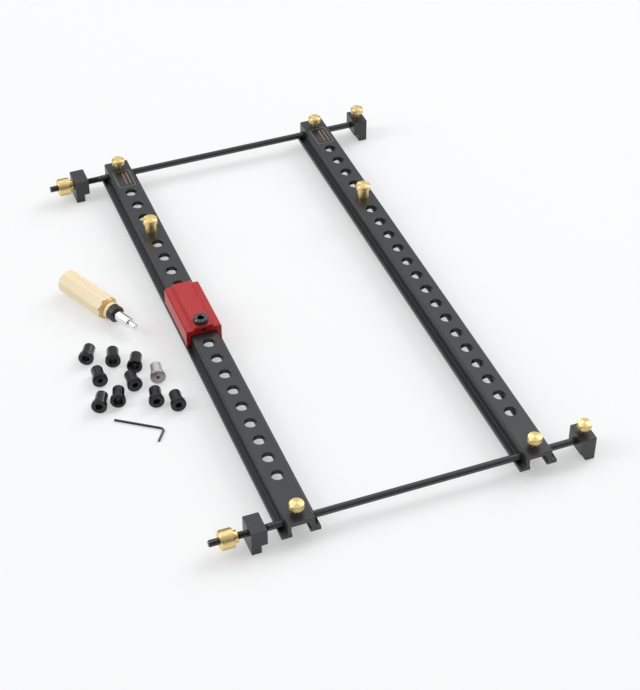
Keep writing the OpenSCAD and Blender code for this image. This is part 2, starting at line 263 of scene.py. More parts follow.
class CarriageSizes(bpy.types.PropertyGroup):
    """Section and edges of the drill carriage and its set screw."""

    inside_width: length("Inside width", "Width between the carriage's legs", 27.6)
    shoulder: length("Shoulder", "Thickness of the shoulders above the rail", 6.35)
    pad_width: length("Pad width", "Width of the raised pad's top", 18.6)
    pad_slope: length("Pad slope", "Sideways run of the step from shoulder to pad", 2)
    edge: length("Edge radius", "Radius along the outer top edges", 2.5)
    arris: length("Arris", "Small radius on the section's other corners", 0.4)
    chamfer: length("End chamfer", "Chamfer round the two ends and the holes", 0.35)
    socket_depth: length("Socket depth", "Depth of the set screw's hex socket", 1.8)


class BushingSizes(bpy.types.PropertyGroup):
    """Shape of the flanged bushings."""

    flange_thickness: length("Flange thickness", "Thickness of a bushing's flange", 4.7)
    barrel_length: length("Barrel length", "Length of a bushing's barrel", 15.9)
    flange_diameter: length("Flange diameter", "Diameter of a bushing's flange", 15.9)
    barrel_diameter: length("Barrel diameter", "Diameter of a bushing's barrel", 12.6)
    chamfer: length("Chamfer", "Chamfer on the flange and at the bore's mouth", 0.8)
    end_chamfer: length("End chamfer", "Chamfer at the barrel's far end", 0.5)


class HandToolSizes(bpy.types.PropertyGroup):
    """Shape and place of the setting tool and the hex key."""

    tool_heading: angle("Tool heading", "Heading of the setting tool's tip from the back", 155.5)
    handle_width: length("Handle width", "Size of the wooden handle across its flats", 24.6)
    handle_length: length("Handle length", "Length of the handle with its nose", 74.9)
    cone_start: length("Cone start", "Distance from the butt to the cone", 65.5)
    cone_length: length("Cone length", "Length of the cone that cuts back the handle's corners", 4)
    cone_diameter: length("Cone diameter", "Diameter of the cone's small end", 21.8)
    neck_diameter: length("Neck diameter", "Diameter of the neck between the cone and the collar", 18.6)
    butt_chamfer: length("Butt chamfer", "Chamfer round the handle's butt", 1.2)
    corner: length("Handle corner", "Radius along the handle's eight corners", 0.7)
    collar_diameter: length("Collar diameter", "Diameter of the black collar", 18)
    collar_length: length("Collar length", "Length of the black collar", 8.1)
    shank_diameter: length("Shank diameter", "Diameter of the steel shank", 11.3)
    shank_length: length("Shank length", "Length of the shank in front of the collar", 19.7)
    tip_diameter: length("Tip diameter", "Diameter of the shank's stepped tip", 6.4)
    tip_length: length("Tip length", "Length of the stepped tip", 9.8)
    tang_length: length("Tang length", "Depth of the shank's tang inside the handle", 30)
    metal_chamfer: length("Metal chamfer", "Chamfer on the collar and on the shank", 0.6)
    key_place: place("Key place", "Middle of the hex key's bend on the ground", -79.1, 123.7)
    key_heading: angle("Key heading", "Turn of the hex key on the ground", 35)
    key_size: length("Key size", "Size of the hex key across its flats", 2.4)
    key_long: length("Key long arm", "Length of the key's long arm", 52)
    key_short: length("Key short arm", "Length of the key's short arm", 18)
    key_bend: length("Key bend", "Radius of the key's bend at its middle line", 4)


class LabelSizes(bpy.types.PropertyGroup):
    """Size and place of the bare label plates on the rails."""

    width: length("Width", "Width of a label plate", 20.6)
    height: length("Height", "Length of a label plate along the rail", 33)
    start: length("Start", "Distance of the plate's near edge from the front index hole", 494)
    thickness: length("Thickness", "Thickness of the plate", 0.08)
    margin: length("Margin", "Distance of the frame line from the plate's edge", 0.8)
    line: length("Line", "Width of the frame line", 0.45)
    rule_width: length("Rule width", "Width of the two plain rules on the plate", 1.3)
    rule_length: length("Rule length", "Length of the plain rules", 23)
    rule_spacing: length("Rule spacing", "Distance between the plain rules", 4.6)
    panel_width: length("Panel width", "Width of the grey panel on the plate", 6.4)
    panel_length: length("Panel length", "Length of the grey panel", 10)


class Colours(bpy.types.PropertyGroup):
    """Colours of the finishes and of the floor."""

    black_anodised: colour("Black anodise", "Rails and fences", 0.018, 0.018, 0.0195)
    black_oxide: colour("Black oxide", "Rods and small steel pieces", 0.013, 0.013, 0.014)
    bushing_barrel: colour("Bushing barrel", "Ground sides of the bushings", 0.095, 0.095, 0.098)
    # Painted shade: the loose bushings' turned ends are darkened well below their sides
    bushing_end: colour("Bushing end", "Turned ends of the loose bushings", 0.032, 0.032, 0.034)
    brass: colour("Brass", "Nuts, screws and pins", 0.91, 0.69, 0.32)
    red_anodised: colour("Red anodise", "Drill carriage", 0.47, 0.017, 0.021)
    bright_steel: colour("Bright steel", "Shank of the setting tool", 0.88, 0.87, 0.86)
    grey_steel: colour("Grey steel", "Sides of the punch guide", 0.86, 0.84, 0.82)
    # Painted shade: the punch guide's turned ends are darkened well below its bright sides
    guide_face: colour("Guide face", "Turned ends of the punch guide", 0.22, 0.21, 0.20)
    pale_wood: colour("Pale wood", "Tool handle between its grain lines", 0.93, 0.77, 0.48)
    wood_grain: colour("Wood grain", "Grain lines of the tool handle", 0.86, 0.68, 0.38)
    # Partly real end grain and partly painted shade on the handle's nose
    end_grain: colour("End grain", "Tool handle where its grain is cut across", 0.70, 0.39, 0.085)
    label_line: colour("Label line", "Frame lines of the label plates", 0.42, 0.41, 0.40)
    label_rule: colour("Label rule", "Plain rules on the label plates", 0.34, 0.22, 0.11)
    label_panel: colour("Label panel", "Grey panel on the label plates", 0.055, 0.055, 0.07)
    floor: colour("Floor", "Floor of the stage", 0.93, 0.93, 0.93)


class StageSettings(bpy.types.PropertyGroup):
    """Floor, light and camera of the stage."""

    floor_reach: length("Floor reach", "Distance from the floor's middle to its edges", 12000)
    shadow_lift: share("Shadow lift", "How far the floor is seen as a lit white sheet", 0.44)
    sheet_level: share("Sheet level", "Brightness of that white sheet", 0.945)
    softbox_distance: length("Softbox distance", "Distance of the lamps from the jig's middle", 7000)
    camera_place: place("Camera place", "Where the camera stands", -377.99, -1087.21, 1158.04)
    camera_tilt: angle("Camera tilt", "How far the camera looks down", 40.917)
    camera_heading: angle("Camera heading", "How far the camera looks to the right of the back", 21.151)
    lens: length("Lens", "Focal length of the camera", 90.64)
    sensor: length("Sensor", "Width of the camera's sensor", 36)
    nearest: length("Nearest", "Distance from which the camera sees things", 10)


class JigSettings(bpy.types.PropertyGroup):
    """Everything that the sidebar offers."""

    rails: group(RailSizes, "Rails", "Sizes of the rails")
    rods: group(RodSizes, "Rods", "Sizes of the rods")
    fences: group(FenceSizes, "Fences", "Sizes of the fences")
    brass: group(BrassSizes, "Brass", "Sizes of the brass pieces")
    carriage: group(CarriageSizes, "Carriage", "Sizes of the drill carriage")
    bushings: group(BushingSizes, "Bushings", "Sizes of the bushings")
    hand_tools: group(HandToolSizes, "Hand tools", "Sizes of the setting tool and hex key")
    labels: group(LabelSizes, "Labels", "Sizes of the label plates")
    colours: group(Colours, "Colours", "Colours of the finishes")
    stage: group(StageSettings, "Stage", "Floor, light and camera")


# Outlines and meshes


def rounded(corners):
    """Points of an outline whose corners, given as (across, up, radius), are rounded."""
    points = []
    for index, (across, up, radius) in enumerate(corners):
        corner = Vector((across, up))
        if radius == 0:
            points.append(corner)
            continue
        behind = (Vector(corners[index - 1][:2]) - corner).normalized()
        ahead = (Vector(corners[(index + 1) % len(corners)][:2]) - corner).normalized()
        half_angle = behind.angle(ahead) / 2
        reach = radius / math.tan(half_angle)
        centre = corner + (behind + ahead).normalized() * radius / math.sin(half_angle)
        start = corner + behind * reach - centre
        end = corner + ahead * reach - centre
        for step in range(CORNER_STEPS + 1):
            points.append(centre + start.slerp(end, step / CORNER_STEPS) * radius)
    return points


def mirrored(corners):
    """A closed outline from the corners of its right half, listed from top to bottom."""
    return corners + [(-across, up, radius) for across, up, radius in reversed(corners)]


def corner_reach(sides, across_flats):
    """Distance of a regular polygon's corners from its middle."""
    return across_flats / 2 / math.cos(math.pi / sides)


def polygon(sides, across_flats, radius, first=0):
    """Outline of a regular polygon with rounded corners, the first a number of corners round from +X."""
    reach = corner_reach(sides, across_flats)
    turns = [math.tau * (index + first) / sides for index in range(sides)]
    return rounded([(reach * math.cos(turn), reach * math.sin(turn), radius) for turn in turns])


def inset(points, distance):
    """A closed outline moved inwards all round."""
    area = sum(
        here.x * points[index - 1].y - here.y * points[index - 1].x for index, here in enumerate(points)
    )
    inward = distance if area < 0 else -distance
    smaller = []
    for index, here in enumerate(points):
        arriving = (here - points[index - 1]).normalized().orthogonal()
        leaving = (points[(index + 1) % len(points)] - here).normalized().orthogonal()
        smaller.append(here + (arriving + leaving) * inward / (1 + arriving.dot(leaving)))
    return smaller


def mesh_of(shape):
    """A mesh from a bmesh, with its faces looking outwards."""
    bmesh.ops.recalc_face_normals(shape, faces=shape.faces)
    mesh = bpy.data.meshes.new("shape")
    shape.to_mesh(mesh)
    shape.free()
    return mesh


def skinned(shape, loops):
    """Faces between each loop of vertices and the next."""
    for near, far in zip(loops, loops[1:]):
        for index in range(len(near)):
            shape.faces.new((near[index - 1], near[index], far[index], far[index - 1]))


def lofted(shape, loops):
    """A solid through loops of vertices, with a face over each end."""
    skinned(shape, loops)
    shape.faces.new(loops[0])
    shape.faces.new(loops[-1])
    return mesh_of(shape)


def extruded(outline, start, end, chamfer):
    """An outline of (across, up) points drawn out along Y, with a small chamfer round each end."""
    shape = bmesh.new()
    small = inset(outline, chamfer) if chamfer else outline
    rings = [(small, start), (outline, start + chamfer), (outline, end - chamfer), (small, end)]
    if not chamfer:
        rings = [(outline, start), (outline, end)]
    loops = [[shape.verts.new((across, along, up)) for across, up in points] for points, along in rings]
    return lofted(shape, loops)


def turned(outline, segments, relief=None):
    """An outline of (radius, height) points turned about Z.

    It is solid where the outline starts and ends on the axis, and a ring where it doesn't.
    The relief says how far a point sinks, from its angle, radius and height.
    """
    shape = bmesh.new()
    rings = []
    for radius, height in outline:
        if radius < ON_AXIS:
            rings.append([shape.verts.new((0, 0, height))])
            continue
        ring = []
        for step in range(segments):
            turn = math.tau * step / segments
            reach = radius - relief(turn, radius, height) if relief else radius
            ring.append(shape.verts.new((reach * math.cos(turn), reach * math.sin(turn), height)))
        rings.append(ring)
    pairs = list(zip(rings, rings[1:]))
    if len(rings[0]) > 1:
        pairs.append((rings[-1], rings[0]))
    for lower, upper in pairs:
        for step in range(segments):
            around = ((lower, step - 1), (lower, step), (upper, step), (upper, step - 1))
            corners = [ring[spot % len(ring)] for ring, spot in around]
            shape.faces.new(list(dict.fromkeys(corners)))
    return mesh_of(shape)


def drill(radius, top, bottom, chamfer=0.0, segments=HOLE_SEGMENTS):
    """A drill along Z that cuts from above a face down to a depth, with a chamfered mouth."""
    outline = [
        (0, bottom),
        (radius, bottom),
        (radius, top - chamfer),
        (radius + chamfer + OVERCUT, top + OVERCUT),
        (0, top + OVERCUT),
    ]
    if not chamfer:
        outline = [(0, bottom), (radius, bottom), (radius, top + OVERCUT), (0, top + OVERCUT)]
    return turned(outline, segments)


def with_ends(mesh):
    """The same mesh, with a note on each face of how squarely it faces along Z."""
    notes = mesh.attributes.new(END_MARK, "FLOAT", "FACE")
    notes.data.foreach_set("value", [abs(face.normal.z) for face in mesh.polygons])
    return mesh


def moved(mesh, matrix):
    """The same mesh, put somewhere else."""
    mesh.transform(matrix)
    return mesh


def at(*position):
    """A move to a position."""
    return Matrix.Translation(position)


def joined(meshes):
    """One mesh from several that don't touch."""
    shape = bmesh.new()
    for mesh in meshes:
        shape.from_mesh(mesh)
        bpy.data.meshes.remove(mesh)
    return mesh_of(shape)


def combined(mesh, operation, *others):
    """The mesh after the others are cut from it, or after it is kept only where they meet it."""
    blank = bpy.data.objects.new("blank", mesh)
    items = [blank] + [bpy.data.objects.new("cutter", other) for other in others]
    for item in items:
        bpy.context.scene.collection.objects.link(item)
    for cutter in items[1:]:
        step = blank.modifiers.new("combine", "BOOLEAN")
        step.operation = operation
        step.solver = "EXACT"
        step.object = cutter
    depsgraph = bpy.context.evaluated_depsgraph_get()
    result = bpy.data.meshes.new_from_object(blank.evaluated_get(depsgraph))
    for item in items:
        bpy.data.meshes.remove(item.data)
    if not result.polygons:
        raise RuntimeError("a cut left nothing of the piece")
    shape = bmesh.new()
    shape.from_mesh(result)
    bmesh.ops.remove_doubles(shape, verts=shape.verts, dist=WELD)
    bmesh.ops.dissolve_degenerate(shape, edges=shape.edges, dist=WELD)
    shape.to_mesh(result)
    shape.free()
    return result


def cut(mesh, *cutters):
    """The mesh with the cutters taken away from it."""
    return combined(mesh, "DIFFERENCE", *cutters)


def rows(radius, low, high, step):
    """Points of a band between two heights, close enough together for a knurl or thread."""
    count = max(2, round((high - low) / step))
    return [(radius, low + (high - low) * index / count) for index in range(count + 1)]


def knurl(sizes, radius, low, high):
    """Segments and relief of a diamond knurl with flat-topped ridges between two heights."""
    ridges = round(math.tau * radius / sizes.knurl_pitch)
    steepness = 1.5

    def groove(turns):
        return max(0.0, 1 - steepness * abs(2 * (turns % 1) - 1))

    def relief(turn, at_radius, height):
        if at_radius < radius - ON_AXIS or not low <= height <= high:
            return 0
        around = ridges * turn / math.tau
        along = (height - low) / sizes.knurl_pitch
        fade = min(1, along, (high - height) / sizes.knurl_pitch)
        return sizes.knurl_depth * fade * max(groove(around + along), groove(around - along))

    return STEPS_PER_RIDGE * ridges, relief


def thread(sizes, radius, low, high):
    """Relief of a right-hand thread between two heights, fading out at the far one."""
    crest = 0.15
    slope = 0.7
    run_out = 3 * sizes.thread_pitch

    def relief(turn, at_radius, height):
        if at_radius < radius - ON_AXIS or not low <= height <= high:
            return 0
        turns = (height / sizes.thread_pitch - turn / math.tau) % 1
        flank = min(1, max(0, (1 - abs(2 * turns - 1) - crest) / slope))
        fade = min(1, (high - height) / run_out)
        return sizes.thread_depth * flank * fade

    return relief


def add_piece(name, mesh, slot, body, matrix=Matrix(), finish=None, sharp=SHARP_ANGLE):
    """Put a finished mesh in the scene, riding on a body."""
    mesh.name = name
    mesh.materials.clear()
    mesh.materials.append(finish or finish_for(slot))
    mesh.shade_smooth()
    mesh.set_sharp_from_angle(angle=sharp)
    piece = bpy.data.objects.new(name, mesh)
    bpy.context.scene.collection.objects.link(piece)
    piece.matrix_world = matrix
    weighted = piece.modifiers.new("flat faces stay flat", "WEIGHTED_NORMAL")
    weighted.keep_sharp = True
    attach(piece, body)
    return piece


def dress(node, mesh, slot, matrix=Matrix(), finish=None, sharp=SHARP_ANGLE):
    """Put a finished mesh in the place of a CAD node."""
    body = frame["nodes"][node]["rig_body"]
    piece = add_piece(f"finished_{node}", mesh, slot, body, matrix, finish, sharp)
    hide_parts(node)
    return piece


def middle(node):
    """Middle of a CAD node's box."""
    low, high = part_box(node)
    return (low + high) / 2


def standing_radius(node):
    """Radius of a round CAD node whose axis is level."""
    low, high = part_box(node)
    return (high.z - low.z) / 2


def rod_by(node):
    """The cross rod at the same end of the jig as a node."""
    return f"{node.split('_')[0]}_rod"


# Finishes


def toned(rgb, factor):
    """A colour made lighter or darker."""
    return [min(1, value * factor) for value in rgb]


class Nodes:
    """A node tree under construction."""

    def __init__(self, tree):
        self.tree = tree

    def add(self, kind, **sockets):
        """A node with some of its sockets set."""
        node = self.tree.nodes.new(kind)
        for socket, value in sockets.items():
            node.inputs[socket].default_value = value
        return node

    def link(self, source, target):
        """A link from one node's output to another node's input."""
        self.tree.links.new(source, target)

    def directions(self, coordinates):
        """The X, Y and Z of one of the texture coordinates."""
        where = self.add("ShaderNodeTexCoord")
        split = self.add("ShaderNodeSeparateXYZ")
        self.link(where.outputs[coordinates], split.inputs["Vector"])
        return split.outputs

    def maths(self, operation, *values):
        """A sum on fields and plain numbers."""
        node = self.add("ShaderNodeMath")
        node.operation = operation
        for socket, value in zip(node.inputs, values):
            if isinstance(value, float):
                socket.default_value = value
            else:
                self.link(value, socket)
        return node.outputs[0]

    def stretched(self, field, span, limits):
        """A field whose span is stretched to fill new limits."""
        spread = self.add("ShaderNodeMapRange")
        sockets = ("From Min", "From Max", "To Min", "To Max")
        for socket, value in zip(sockets, (*span, *limits)):
            spread.inputs[socket].default_value = value
        self.link(field, spread.inputs["Value"])
        return spread.outputs["Result"]

    def ramp(self, field, stops):
        """Colour by a field, through stops that each have a position and a tone."""
        node = self.add("ShaderNodeValToRGB")
        elements = node.color_ramp.elements
        for element, (position, tone) in zip(elements, (stops[0], stops[-1])):
            element.position = position
            element.color = (*tone, 1)
        for position, tone in stops[1:-1]:
            elements.new(position).color = (*tone, 1)
        self.link(field, node.inputs["Fac"])
        return node.outputs["Color"]


class Finish(Nodes):
    """A material under construction."""

    def __init__(self, name, sockets):
        self.material = bpy.data.materials.new(name)
        self.material.use_nodes = True
        super().__init__(self.material.node_tree)
        self.shader = self.tree.nodes["Principled BSDF"]
        for socket, value in sockets.items():
            self.shader.inputs[socket].default_value = value

    def grain(self, size, stretch=(1, 1, 1), detail=3):
        """Noise of a given grain size over the piece, drawn out along its axes."""
        where = self.add("ShaderNodeTexCoord")
        drawn = self.add("ShaderNodeMapping", Scale=[1 / factor for factor in stretch])
        noise = self.add("ShaderNodeTexNoise", Scale=1 / size, Detail=detail)
        self.link(where.outputs["Object"], drawn.inputs["Vector"])
        self.link(drawn.outputs["Vector"], noise.inputs["Vector"])
        return noise.outputs["Fac"]

    def tint(self, field, dark, light, span=GRAIN_SPAN):
        """Colour between two tones, by a field."""
        tones = self.ramp(field, ((span[0], dark), (span[1], light)))
        self.link(tones, self.shader.inputs["Base Color"])

    def mottle(self, size, tone, darkest, lightest):
        """A tone that wanders between a darker and a lighter one."""
        self.tint(self.grain(size), toned(tone, darkest), toned(tone, lightest))

    def vary(self, socket, field, low, high):
        """A shader value between two limits, by a field."""
        self.link(self.stretched(field, GRAIN_SPAN, (low, high)), self.shader.inputs[socket])

    def emboss(self, field, depth):
        """Fine relief by a field, on top of any relief that is there."""
        bump = self.add("ShaderNodeBump", Distance=depth, Strength=1)
        normal = self.shader.inputs["Normal"]
        if normal.is_linked:
            self.link(normal.links[0].from_socket, bump.inputs["Normal"])
        self.link(field, bump.inputs["Height"])
        self.link(bump.outputs["Normal"], normal)

    def facing(self):
        """How squarely the surface faces along the piece's own Z, from 0 to 1."""
        return self.maths("ABSOLUTE", self.directions("Normal")["Z"])

    def ends(self):
        """How squarely a turned piece's surface was marked as facing along its axis, from 0 to 1."""
        mark = self.add("ShaderNodeAttribute")
        mark.attribute_name = END_MARK
        return mark.outputs["Fac"]

    def soak(self, tone, field):
        """A darker tone where a field says that the piece is cut across: partly real end grain and
        partly painted shade on the wood, and painted shade on turned steel ends.
        """
        blend = self.add("ShaderNodeMix")
        blend.data_type = "RGBA"
        base = self.shader.inputs["Base Color"]
        before, after = [socket for socket in blend.inputs if socket.type == "RGBA"]
        after.default_value = (*tone, 1)
        self.link(self.stretched(field, END_SPAN, (0, END_SHARE)), blend.inputs[0])
        self.link(base.links[0].from_socket, before)
        for result in blend.outputs:
            if result.type == "RGBA":
                self.link(result, base)

    def lathe_marks(self, amount):
        """Gloss drawn out across the marks that a lathe leaves round the piece's axis."""
        quarter_turn = 0.25
        around = self.add("ShaderNodeTangent")
        around.direction_type = "RADIAL"
        around.axis = "Z"
        self.shader.inputs["Anisotropic"].default_value = amount
        self.shader.inputs["Anisotropic Rotation"].default_value = quarter_turn
        self.link(around.outputs["Tangent"], self.shader.inputs["Tangent"])


def black_anodised(colours):
    """Satin black anodise with the faint lines of an extrusion."""
    finish = Finish("satin_black_anodise", {"IOR": 1.58})
    finish.mottle(6 * MM, colours.black_anodised, darkest=0.85, lightest=1.15)
    finish.vary("Roughness", finish.grain(3 * MM, stretch=(1, 20, 1)), low=0.32, high=0.42)
    finish.emboss(finish.grain(0.35 * MM), depth=0.008 * MM)
    finish.emboss(finish.grain(0.5 * MM, stretch=(1, 120, 1)), depth=0.006 * MM)
    return finish.material


def oxide(name, tone, sockets):
    """A thin black oxide film on steel."""
    finish = Finish(name, sockets)
    finish.mottle(4 * MM, tone, darkest=0.8, lightest=1.2)
    finish.vary("Roughness", finish.grain(2 * MM), low=0.18, high=0.26)
    finish.emboss(finish.grain(0.3 * MM), depth=0.006 * MM)
    return finish


def black_oxide(colours):
    """Oiled black oxide on turned steel."""
    return oxide("oiled_black_oxide", colours.black_oxide, {"IOR": 1.75}).material


def oxide_with_shaded_ends(colours):
    """Black oxide on the bushings, with painted shade that darkens their turned ends against their
    sides.
    """
    finish = oxide("black_oxide_with_shaded_ends", colours.bushing_barrel, {"Metallic": 1})
    finish.soak(colours.bushing_end, finish.ends())
    return finish.material


def brass(colours):
    """Turned brass with a light film of handling."""
    finish = Finish("turned_brass", {"Metallic": 1})
    finish.mottle(3 * MM, colours.brass, darkest=0.9, lightest=1.06)
    finish.vary("Roughness", finish.grain(1.5 * MM), low=0.3, high=0.36)
    finish.emboss(finish.grain(0.2 * MM), depth=0.003 * MM)
    finish.lathe_marks(amount=0.92)
    return finish.material


def red_anodised(colours):
    """Satin red anodise."""
    finish = Finish("satin_red_anodise", {"IOR": 1.45})
    finish.mottle(8 * MM, colours.red_anodised, darkest=0.94, lightest=1.06)
    finish.vary("Roughness", finish.grain(3 * MM, stretch=(1, 20, 1)), low=0.26, high=0.34)
    finish.emboss(finish.grain(0.3 * MM), depth=0.006 * MM)
    finish.emboss(finish.grain(0.5 * MM, stretch=(1, 120, 1)), depth=0.005 * MM)
    return finish.material


def steel(name, tone, smoothest, roughest):
    """Ground steel."""
    finish = Finish(name, {"Metallic": 1})
    finish.mottle(3 * MM, tone, darkest=0.93, lightest=1.05)
    finish.vary("Roughness", finish.grain(0.6 * MM), low=smoothest, high=roughest)
    finish.emboss(finish.grain(0.25 * MM), depth=0.002 * MM)
    return finish


def bright_steel(colours):
    """The tool's plated shank."""
    return steel("plated_steel", colours.bright_steel, smoothest=0.14, roughest=0.22).material


def grey_steel(colours):
    """The punch guide's plain steel, with painted shade that darkens its turned ends."""
    finish = steel("ground_steel", colours.grey_steel, smoothest=0.32, roughest=0.37)
    finish.soak(colours.guide_face, finish.ends())
    return finish.material


def pale_wood(colours):
    """Clear-finished pale hardwood, its grain along the piece's own Z."""
    finish = Finish("varnished_pale_wood", {"Coat Weight": 0.9, "Coat Roughness": 0.2})
    lines = finish.grain(1.6 * MM, stretch=(1, 1, 30), detail=4)
    finish.tint(lines, colours.wood_grain, colours.pale_wood, span=(0.3, 0.52))
    # Darker where the grain is cut across, partly as real end grain and partly as painted shade on the
    # nose
    finish.soak(colours.end_grain, finish.facing())
    finish.vary("Roughness", finish.grain(1 * MM, stretch=(1, 1, 20)), low=0.4, high=0.55)
    finish.emboss(finish.grain(0.4 * MM, stretch=(1, 1, 40)), depth=0.02 * MM)
    return finish.material


def ink(name, tone):
    """Metallic ink on the labels."""
    finish = Finish(name, {"Metallic": 0.4})
    finish.mottle(1 * MM, tone, darkest=0.85, lightest=1)
    finish.vary("Roughness", finish.grain(0.6 * MM), low=0.4, high=0.5)
    return finish.material


def label_line(colours):
    """Silver ink of the frame lines."""
    return ink("silver_ink", colours.label_line)


def label_rule(colours):
    """Bronze ink of the plain rules."""
    return ink("bronze_ink", colours.label_rule)


def label_panel(colours):
    """Slate grey ink of the plain panel."""
    return ink("slate_ink", colours.label_panel)


def label_face(colours):
    """Smooth black foil of the labels."""
    finish = Finish("label_foil", {"IOR": 1.5})
    finish.mottle(2 * MM, colours.black_anodised, darkest=0.7, lightest=0.9)
    finish.vary("Roughness", finish.grain(1 * MM), low=0.28, high=0.36)
    return finish.material


FINISHES = {
    "black_anodised": black_anodised,
    "black_oxide": black_oxide,
    "oxide_with_shaded_ends": oxide_with_shaded_ends,
    "brass": brass,
    "red_anodised": red_anodised,
    "bright_steel": bright_steel,
    "grey_steel": grey_steel,
    "pale_wood": pale_wood,
    "label_line": label_line,
    "label_rule": label_rule,
    "label_panel": label_panel,
    "label_face": label_face,
}
made_finishes = {}


def finish_for(name):
    """The material of that name, made once."""
    if name not in made_finishes:
        made_finishes[name] = FINISHES[name](bpy.context.scene.drilling_jig.colours)
    return made_finishes[name]


# Pieces


class JIG_OT_rails(bpy.types.Operator):
    """Build the two hat-section rails with their rows of index holes"""

    bl_idname = "jig.rails"
    bl_label = "Rails"

    def execute(self, context):
        sizes = context.scene.drilling_jig.rails
        screw_radius = context.scene.drilling_jig.brass.shank_diameter / 2 + RUNNING_GAP
        for node in RAILS:
            low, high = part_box(node)
            mesh = extruded(self.section(sizes, node), low.y, high.y, sizes.end_chamfer)
            drills = self.holes(sizes, screw_radius)
            bores = joined([self.rod_bore(sizes, rod) for rod in RODS])
            dress(node, cut(mesh, drills, bores), "black_anodised", at(middle(node).x, 0, 0))
        return {"FINISHED"}

    def section(self, sizes, node):
        """Outline of the hat section."""
        low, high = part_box(node)
        foot = (high.x - low.x) / 2
        half = sizes.top_width / 2
        inside = half - sizes.leg_thickness
        lip = inside - sizes.lip
        foot_top = low.z + sizes.foot_thickness
        outside = [
            (half, high.z, sizes.edge),
            (half, foot_top, sizes.fillet),
            (foot, foot_top, sizes.arris),
            (foot, low.z, sizes.arris),
            (lip, low.z, sizes.arris),
            (lip, foot_top, sizes.arris),
            (inside, foot_top, 0),
            (inside, -sizes.top_thickness, sizes.arris),
        ]
        return rounded(mirrored(outside))

    def holes(self, sizes, screw_radius):
        """Drills for the index holes and for the two screw holes.

        Both rails have the same rows of holes. A hole that a pin or the bushing fills has no mount,
        so its row comes from the other rail.
        """
        spots = {}
        for name, mount in MOUNTS.items():
            if "_index_hole_" in name:
                spots[round(mount["pos_m"][1], ROW_DECIMALS)] = mount["dims"]["r_mm"] * MM
        for rod in RODS:
            spots[middle(rod).y] = screw_radius
        drills = []
        for along, radius in spots.items():
            hole = drill(radius, 0, -sizes.top_thickness - OVERCUT, sizes.hole_chamfer)
            drills.append(moved(hole, at(0, along, 0)))
        return joined(drills)

    def rod_bore(self, sizes, rod):
        """Drill for a cross rod through both legs."""
        bore = drill(standing_radius(rod) + RUNNING_GAP, sizes.top_width, -sizes.top_width)
        return moved(bore, at(0, middle(rod).y, middle(rod).z) @ ALONG_X)


class JIG_OT_labels(bpy.types.Operator):
    """Build the bare label plates at the rails' back ends"""

    bl_idname = "jig.labels"
    bl_label = "Labels"

    def execute(self, context):
        sizes = context.scene.drilling_jig.labels
        for rail in RAILS:
            side = rail.split("_")[0]
            spot = at(middle(rail).x, sizes.start + sizes.height / 2, 0)
            plates = (
                ("label", self.face(sizes), "black_anodised", "label_face"),
                ("label_line", self.frame_line(sizes), "brass", "label_line"),
                ("label_rules", self.rules(sizes), "brass", "label_rule"),
                ("label_panel", self.panel(sizes), "black_anodised", "label_panel"),
            )
            for name, mesh, slot, finish in plates:
                add_piece(f"{side}_{name}", mesh, slot, rail, spot, finish_for(finish))
        return {"FINISHED"}

    def face(self, sizes):
        """The bare plate."""
        return self.plate(sizes.width, sizes.height, 0, sizes.thickness)

    def frame_line(self, sizes):
        """The line round the plate, a little inside its edge."""
        width = sizes.width - 2 * sizes.margin
        height = sizes.height - 2 * sizes.margin
        return self.plate(width, height, sizes.thickness, LABEL_LINE_TOP * sizes.thickness, sizes.line)

    def rules(self, sizes):
        """Two plain rules along the plate."""
        rules = []
        for step in LABEL_RULE_STEPS:
            rule = self.mark(sizes, sizes.rule_width, sizes.rule_length)
            rules.append(moved(rule, at(step * sizes.rule_spacing, 0, 0)))
        return joined(rules)

    def panel(self, sizes):
        """A plain panel beside the rules."""
        panel = self.mark(sizes, sizes.panel_width, sizes.panel_length)
        return moved(panel, at(-sizes.rule_spacing, -LABEL_PANEL_STEP * sizes.panel_length, 0))

    def mark(self, sizes, width, height):
        """A raised mark on the plate."""
        return self.plate(width, height, sizes.thickness, LABEL_MARK_TOP * sizes.thickness)

    def plate(self, width, height, low, high, line=0):
        """A thin plate with rounded corners, or only a line along its edge."""
        across = width / 2
        along = height / 2
        radius = min(LABEL_CORNER, LABEL_CORNER_SHARE * width)
        corners = [(across, along), (across, -along), (-across, -along), (-across, along)]
        outline = rounded([(*corner, radius) for corner in corners])
        shape = bmesh.new()
        rings = [(outline, low), (outline, high)]
        if line:
            inner = inset(outline, line)
            rings += [(inner, high), (inner, low)]
        loops = [[shape.verts.new((*point, level)) for point in points] for points, level in rings]
        if not line:
            return lofted(shape, loops)
        skinned(shape, loops + loops[:1])
        return mesh_of(shape)


class JIG_OT_rods(bpy.types.Operator):
    """Build the two cross rods with their threaded left ends"""

    bl_idname = "jig.rods"
    bl_label = "Cross rods"

    def execute(self, context):
        sizes = context.scene.drilling_jig.rods
        for node in RODS:
            low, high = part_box(node)
            span = high.x - low.x
            radius = standing_radius(node)
            end = radius - sizes.chamfer
            step = sizes.thread_pitch / STEPS_PER_THREAD
            outline = [(0, 0), (end, 0)]
            outline += rows(radius, sizes.chamfer, sizes.thread_length, step)
            outline += [(radius, span - sizes.chamfer), (end, span), (0, span)]
            relief = thread(sizes, radius, sizes.chamfer, sizes.thread_length)
            spot = at(low.x, middle(node).y, middle(node).z) @ ALONG_X
            dress(node, turned(outline, ROD_SEGMENTS, relief), "black_oxide", spot)
        return {"FINISHED"}


